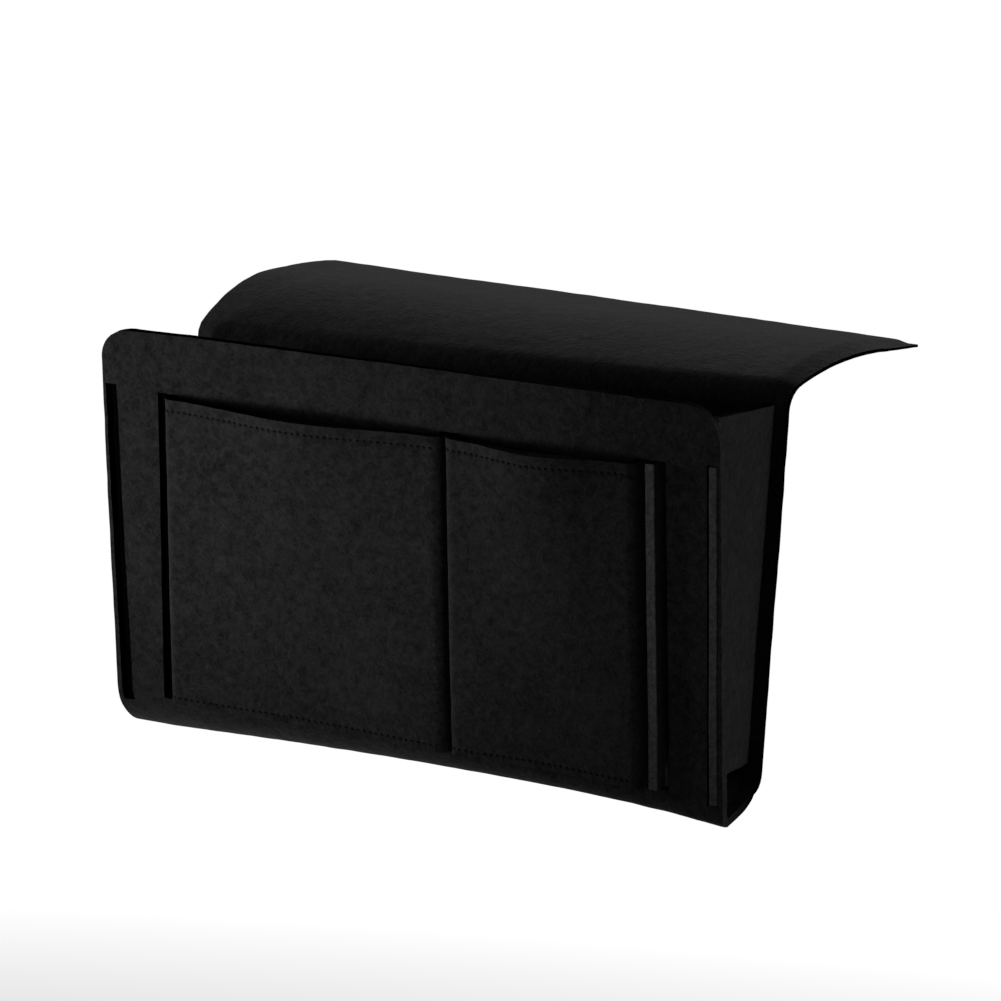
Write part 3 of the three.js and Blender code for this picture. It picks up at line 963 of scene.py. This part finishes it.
def floor_material():
    """Pale paint that turns into plain white far from the caddy, for camera rays only."""
    material, tree = empty_material("white_painted_floor")
    place = add_node(tree, "ShaderNodeTexCoord").outputs["Object"]
    reach = add_node(tree, "ShaderNodeVectorMath", {"operation": "LENGTH"}, None, {
        0: place}).outputs["Value"]
    far = add_node(tree, "ShaderNodeMapRange", inputs={
        "From Min": FLOOR_SHADE_REACH, "From Max": FLOOR_WHITE_REACH,
        "To Min": LEAST_WHITE, "To Max": 1.0}, links={"Value": reach}).outputs[0]
    camera_ray = add_node(tree, "ShaderNodeLightPath").outputs["Is Camera Ray"]
    share = add_node(tree, "ShaderNodeMath", {"operation": "MULTIPLY"}, None, {
        0: far, 1: camera_ray}).outputs[0]
    paint = add_node(tree, "ShaderNodeBsdfPrincipled", inputs={
        "Base Color": linear("#e8e8e8"), "Roughness": 0.9})
    white = add_node(tree, "ShaderNodeEmission", inputs={"Color": linear("#ffffff"), "Strength": 1.0})
    mix = add_node(tree, "ShaderNodeMixShader", links={0: share, 1: paint.outputs[0], 2: white.outputs[0]})
    add_node(tree, "ShaderNodeOutputMaterial", links={"Surface": mix.outputs[0]})
    return material


def make_floor():
    bm = bmesh.new()
    bmesh.ops.create_grid(bm, x_segments=1, y_segments=1, size=20)
    floor = link_mesh("floor", bm, floor_material())
    floor.location.z = cad_box[0][2] - FLOOR_DROP


make_floor()

# %% Background, white for the camera and a weak fill for the felt
WORLD_FILL = 0.05


def make_world():
    world = bpy.data.worlds.new("white_studio")
    bpy.context.scene.world = world
    world.use_nodes = True
    tree = world.node_tree
    tree.nodes.clear()
    path = add_node(tree, "ShaderNodeLightPath")
    strength = add_node(tree, "ShaderNodeMapRange", inputs={"To Min": WORLD_FILL, "To Max": 1.0}, links={
        "Value": path.outputs["Is Camera Ray"]})
    sky = add_node(tree, "ShaderNodeBackground", inputs={"Color": linear("#ffffff")}, links={
        "Strength": strength.outputs[0]})
    add_node(tree, "ShaderNodeOutputWorld", links={"Surface": sky.outputs[0]})


make_world()

# %% Lamps: their places and targets are measured from the caddy's middle
middle = (Vector(cad_box[0]) + Vector(cad_box[1])) / 2
SNOOT_RADIUS = 0.08


def hang_light(name, kind, place, target, power):
    light = bpy.data.lights.new(name, kind)
    light.energy = power
    lamp = bpy.data.objects.new(name, light)
    bpy.context.collection.objects.link(lamp)
    lamp.location = middle + Vector(place)
    lamp.visible_camera = False
    lamp.rotation_euler = (Vector(target) - Vector(place)).to_track_quat("-Z", "Y").to_euler()
    return light


def softbox(name, place, target, size, power):
    light = hang_light(name, "AREA", place, target, power)
    light.shape = "RECTANGLE"
    light.size, light.size_y = size


def snooted_lamp(name, place, target, cone, power):
    light = hang_light(name, "SPOT", place, target, power)
    light.spot_size, light.spot_blend = math.radians(cone), 1.0
    light.shadow_soft_size = SNOOT_RADIUS


snooted_lamp("front_lamp", (-0.30, -0.62, -0.12), (-0.10, -0.083, 0.05), 46, 9.4)
snooted_lamp("left_lamp", (-0.85, -0.33, 0.04), (-0.14, -0.083, 0.02), 25, 11)
softbox("right_softbox", (1.2, 0.30, -0.16), (0, 0, 0), (0.5, 0.26), 3.1)
softbox("back_softbox", (-0.40, 0.92, 0.64), (0, 0, 0.1), (0.8, 0.4), 4.7)
softbox("top_softbox", (-0.10, -0.06, 0.95), (0, 0, 0.1), (0.3, 0.1), 0.45)

# %% [markdown]
# ## Camera
#
# The view is from the right and a little above, through a long lens from a few metres away. The angles and
# the distance were fitted to the photograph's outline. The lens is so long that the roll and the two shifts
# of the place do the framing, and the camera's own shift stays at zero.

# %% Set the camera
IMAGE_WIDTH = 1001
FOCAL_PIXELS = 14000
AZIMUTH = math.radians(29.052)
ELEVATION = math.radians(6.913)
ROLL = math.radians(4.261)
SIDE_SHIFT = -0.055872
UP_SHIFT = -0.124603
DISTANCE = 6.269067
SENSOR = 36


def make_camera():
    sight = Vector((-math.sin(AZIMUTH) * math.cos(ELEVATION), math.cos(AZIMUTH) * math.cos(ELEVATION),
                    -math.sin(ELEVATION)))
    level_right = Vector((math.cos(AZIMUTH), math.sin(AZIMUTH), 0))
    level_up = level_right.cross(sight)
    right = math.cos(ROLL) * level_right + math.sin(ROLL) * level_up
    up = right.cross(sight)
    camera = bpy.data.cameras.new("camera")
    camera.sensor_width = SENSOR
    camera.lens = FOCAL_PIXELS / IMAGE_WIDTH * SENSOR
    camera.clip_start, camera.clip_end = 0.1, 100
    eye = bpy.data.objects.new("camera", camera)
    bpy.context.collection.objects.link(eye)
    turn = Matrix((right, up, -sight)).transposed()
    eye.rotation_mode = "QUATERNION"
    eye.rotation_quaternion = turn.to_quaternion()
    eye.location = origin - right * SIDE_SHIFT - up * UP_SHIFT - sight * DISTANCE
    bpy.context.scene.camera = eye


make_camera()
bpy.context.scene.view_settings.view_transform = "Standard"
